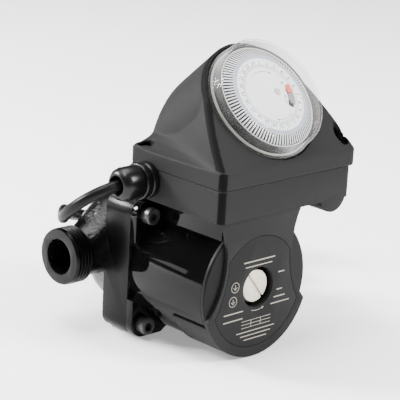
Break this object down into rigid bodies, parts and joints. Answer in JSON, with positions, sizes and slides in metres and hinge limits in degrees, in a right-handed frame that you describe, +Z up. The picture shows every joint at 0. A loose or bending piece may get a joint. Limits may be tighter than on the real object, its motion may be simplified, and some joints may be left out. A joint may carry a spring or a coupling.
{
  "type": "circulator pump with timer",
  "caption": "Wet-rotor circulator pump: cast housing with two male threaded ports, round motor, control box with a tilted 24-hour dial timer under a clear lens, and a mains lead.",
  "frame": {"origin": "centre of the bounding box's base, on the surface that the housing and apron stand on, without the free cord", "axes": "+Z up, +X along the pipe from the outlet port to the inlet port, -Y the front with the timer and nameplate"},
  "size_m": [0.2031, 0.1809, 0.1738],
  "materials": {
    "cast_black": "cast, gloss black paint",
    "can_black": "gloss black",
    "box_grey": "fine-textured dark grey",
    "plate_grey": "satin dark print",
    "seal_black": "matt",
    "steel": "ground",
    "screw_black": "blackened",
    "bearing_carbon": "carbon graphite",
    "copper": "enamelled copper",
    "nickel": "nickel plated",
    "impeller_tan": "moulded",
    "case_cream": "moulded",
    "dial_white": "printed",
    "tappet_white": "moulded",
    "lever_red": "moulded",
    "button_grey": "moulded",
    "black_plastic": "moulded",
    "capacitor_white": "moulded",
    "bright_metal": "bright",
    "lens_clear": "clear moulded"
  },
  "bodies": {
    "pump_body": {"pump_housing": "cast_black", "motor_can": "can_black", "motor_front_cap": "can_black", "control_box_base": "box_grey", "timer_hood": "box_grey", "side_plate": "box_grey", "nameplate": "plate_grey", "housing_gasket": "seal_black", "vent_screw_seal": "seal_black", "box_gasket": "seal_black", "gland_seal": "seal_black", "mains_cable": "seal_black", "cable_coil": "seal_black", "plug_lead": "seal_black", "rotor_sleeve": "steel", "bearing_plate": "steel", "stator_core": "steel", "gear_pin": "steel", "wear_ring": "steel", "saddle_screws": "steel", "terminal_screws": "steel", "flange_screws": "screw_black", "hood_screws": "screw_black", "rear_bearing": "bearing_carbon", "front_bearing": "bearing_carbon", "thrust_washer": "bearing_carbon", "stator_windings": "copper", "timer_case": "case_cream", "dial_spindle": "case_cream", "terminal_block": "case_cream", "dial_centre": "dial_white", "dial_bezel": "black_plastic", "gland_body": "black_plastic", "gland_nut": "black_plastic", "gland_locknut": "black_plastic", "mains_plug": "black_plastic", "switch_block": "black_plastic", "coil_tie": "black_plastic", "run_capacitor": "capacitor_white", "timer_motor": "bright_metal", "plug_pins": "bright_metal"},
    "rotor": {"rotor_shaft": "steel", "rotor_core": "steel", "impeller": "impeller_tan"},
    "vent_screw": {"vent_screw": "nickel"},
    "dial": {"dial_ring": "dial_white", "dial_gear": "case_cream", "setting_tappets": "tappet_white"},
    "reduction_wheel": {"reduction_gear": "case_cream"},
    "drive_pinion": {"motor_pinion": "case_cream"},
    "override_lever": {"override_lever": "lever_red"},
    "set_button": {"set_button": "button_grey"},
    "switch_arm": {"switch_arm": "bright_metal"},
    "lens": {"timer_lens": "lens_clear"}
  },
  "joints": [
    {"name": "rotor_spin", "type": "hinge", "parent": "pump_body", "child": "rotor", "pos_m": [-0.004, -0.00615, 0.041], "axis": [0, -1, 0], "continuous": true},
    {"name": "vent_screw_turn", "type": "hinge", "parent": "pump_body", "child": "vent_screw", "pos_m": [-0.004, -0.04615, 0.041], "axis": [0, -1, 0], "continuous": true},
    {"name": "dial_turn", "type": "hinge", "parent": "pump_body", "child": "dial", "pos_m": [0.0131, -0.02955, 0.1407], "axis": [0, -0.7581, 0.6521], "continuous": true},
    {"name": "reduction_turn", "type": "hinge", "parent": "pump_body", "child": "reduction_wheel", "pos_m": [0.0131, -0.03998, 0.12857], "axis": [0, -0.7581, 0.6521], "continuous": true},
    {"name": "motor_pinion_turn", "type": "hinge", "parent": "pump_body", "child": "drive_pinion", "pos_m": [0.02814, -0.03642, 0.13272], "axis": [0, -0.7581, 0.6521], "continuous": true},
    {"name": "override_lever_turn", "type": "hinge", "parent": "pump_body", "child": "override_lever", "pos_m": [0.0131, -0.02955, 0.1407], "axis": [0, -0.7581, 0.6521], "range_deg": [-34, 0]},
    {"name": "set_button_press", "type": "slide", "parent": "pump_body", "child": "set_button", "axis": [0, 0.7581, -0.6521], "range_m": [0, 0.0008], "stiffness_N_per_m": 200},
    {"name": "switch_arm_tilt", "type": "hinge", "parent": "pump_body", "child": "switch_arm", "pos_m": [-0.0129, -0.01757, 0.1304], "axis": [0, 0.6521, 0.7581], "range_deg": [0, 2.5], "stiffness_Nm_per_rad": 0.02},
    {"name": "lens_pull", "type": "slide", "parent": "pump_body", "child": "lens", "axis": [0, -0.7581, 0.6521], "range_m": [0, 0.02]}
  ],
  "couplings": [
    {"joint": "reduction_turn", "follows": "dial_turn", "ratio": -3},
    {"joint": "motor_pinion_turn", "follows": "dial_turn", "ratio": 9}
  ]
}
